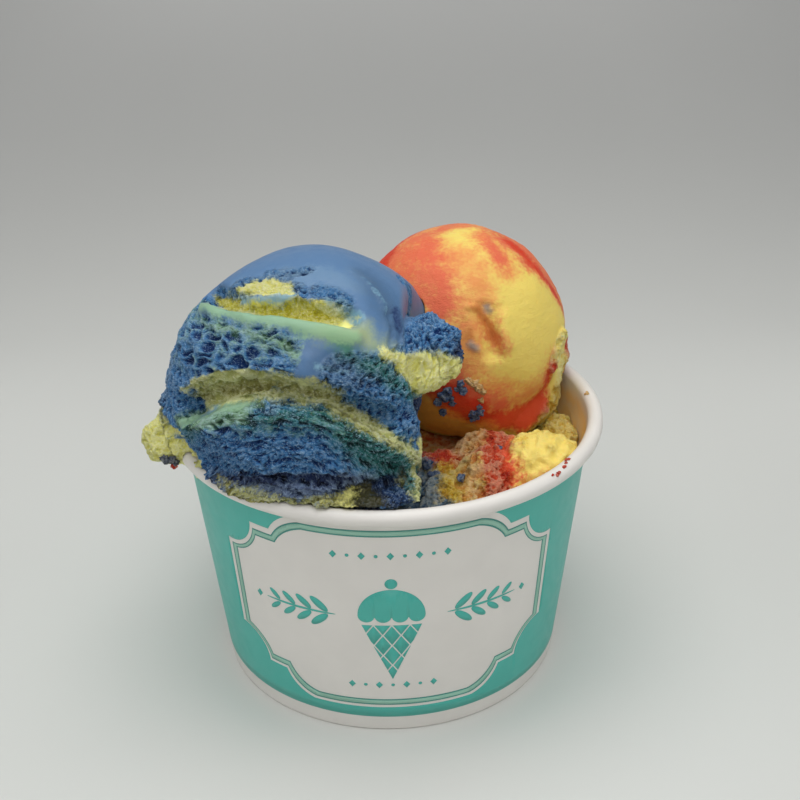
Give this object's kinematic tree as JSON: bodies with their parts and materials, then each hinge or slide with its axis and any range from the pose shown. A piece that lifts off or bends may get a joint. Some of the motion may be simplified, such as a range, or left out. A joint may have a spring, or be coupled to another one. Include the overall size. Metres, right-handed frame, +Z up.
{
  "type": "paper tub of scooped ice cream",
  "caption": "Round paper tub with a rolled rim, filled with ice cream, with a torn blue scoop over the front rim and a smaller yellow scoop behind it.",
  "frame": {"origin": "middle of the footprint of the whole, on the surface it stands on; the cup's own axis is 2.2 mm to +X of it", "axes": "+Z up; -Y towards the front, where the label and the torn side of the blue scoop are; +X to the right of someone facing the label"},
  "size_m": [0.1002, 0.0958, 0.1003],
  "materials": {
    "printed_paper": "coated paper board, white with a green-blue printed band, satin",
    "plain_paper": "coated paper board, unprinted, satin",
    "yellow_red_ice_cream": "ice cream, yellow marbled with red, smooth and moist where scooped, crumbly where torn",
    "blue_ice_cream": "ice cream, blue marbled with yellow and green, smooth on the dome, rough and porous where torn"
  },
  "bodies": {
    "root": {"cup_wall": "printed_paper", "cup_base": "plain_paper", "lower_ice_cream": "yellow_red_ice_cream", "scoop_yellow": "yellow_red_ice_cream", "scoop_blue": "blue_ice_cream"}
  },
  "joints": []
}
